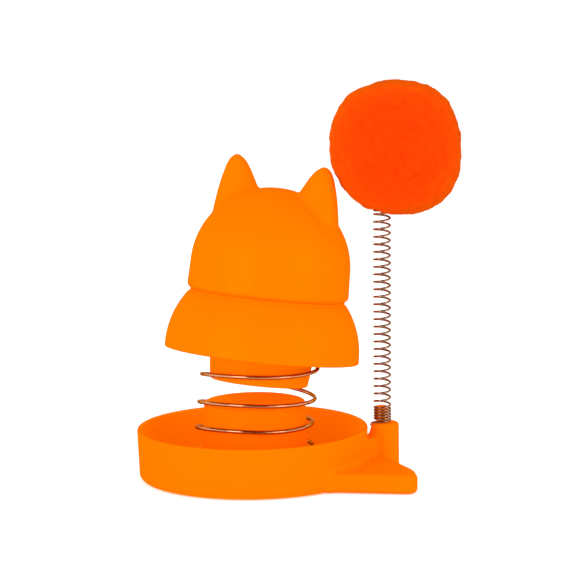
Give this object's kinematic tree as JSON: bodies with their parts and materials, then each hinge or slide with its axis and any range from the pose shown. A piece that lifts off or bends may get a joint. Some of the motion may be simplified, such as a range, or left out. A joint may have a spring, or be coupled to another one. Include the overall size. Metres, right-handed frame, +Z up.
{
  "type": "spring cat teaser",
  "caption": "Cat toy with a round treat tray, a domed head with ears that sways on a wide coil spring, and a spring wand with a pompom beside it.",
  "frame": {"origin": "middle of the tray, on the surface that the pads stand on", "axes": "+Z up, +X towards the post and the wand, -Y towards the ledge's straight front edge"},
  "size_m": [0.1556, 0.1098, 0.1894],
  "materials": {
    "orange_plastic": "satin to gloss moulded plastic",
    "orange_yarn": "trimmed yarn pile",
    "copper_wire": "bright copper-plated steel wire",
    "screw_steel": "zinc-plated",
    "pad_foam": "matt foam rubber"
  },
  "bodies": {
    "base": {"base_tray": "orange_plastic", "base_pad": "pad_foam", "ledge_pad": "pad_foam", "spring_hub": "orange_plastic", "hub_screw_1": "screw_steel", "hub_screw_2": "screw_steel", "hub_screw_3": "screw_steel", "wand_peg": "orange_plastic", "peg_screw": "screw_steel"},
    "coil": {"bounce_spring": "copper_wire"},
    "head": {"neck_cup": "orange_plastic", "skirt": "orange_plastic", "neck_screw_1": "screw_steel", "neck_screw_2": "screw_steel", "neck_screw_3": "screw_steel"},
    "dome": {"head_dome": "orange_plastic"},
    "wand": {"wand_spring": "copper_wire"},
    "puff": {"pompom": "orange_yarn", "pompom_plug": "orange_plastic", "pompom_tie": "orange_yarn"}
  },
  "joints": [
    {"name": "head_sway", "type": "hinge", "parent": "base", "child": "coil", "pos_m": [0.0028, 0.0013, 0.041], "axis": [0, 1, 0], "range_deg": [-18, 0.4], "stiffness_Nm_per_rad": 0.6, "deforming": ["bounce_spring"]},
    {"name": "head_nod", "type": "hinge", "parent": "coil", "child": "head", "pos_m": [0.0028, 0.0013, 0.041], "axis": [1, 0, 0], "range_deg": [-8, 12], "stiffness_Nm_per_rad": 0.6, "deforming": ["bounce_spring"]},
    {"name": "dome_twist", "type": "hinge", "parent": "head", "child": "dome", "pos_m": [0.0049, 0.003, 0.0593], "axis": [0.1127, 0.09, 0.9895], "range_deg": [-25, 0]},
    {"name": "wand_nod", "type": "hinge", "parent": "base", "child": "wand", "pos_m": [0.0623, 0.005, 0.048], "axis": [1, 0, 0], "range_deg": [-28, 28], "stiffness_Nm_per_rad": 0.3, "deforming": ["wand_spring"]},
    {"name": "wand_sway", "type": "hinge", "parent": "wand", "child": "puff", "pos_m": [0.0625, 0.0055, 0.085], "axis": [0, 1, 0], "range_deg": [-0.4, 40], "stiffness_Nm_per_rad": 0.3, "deforming": ["wand_spring"]}
  ]
}
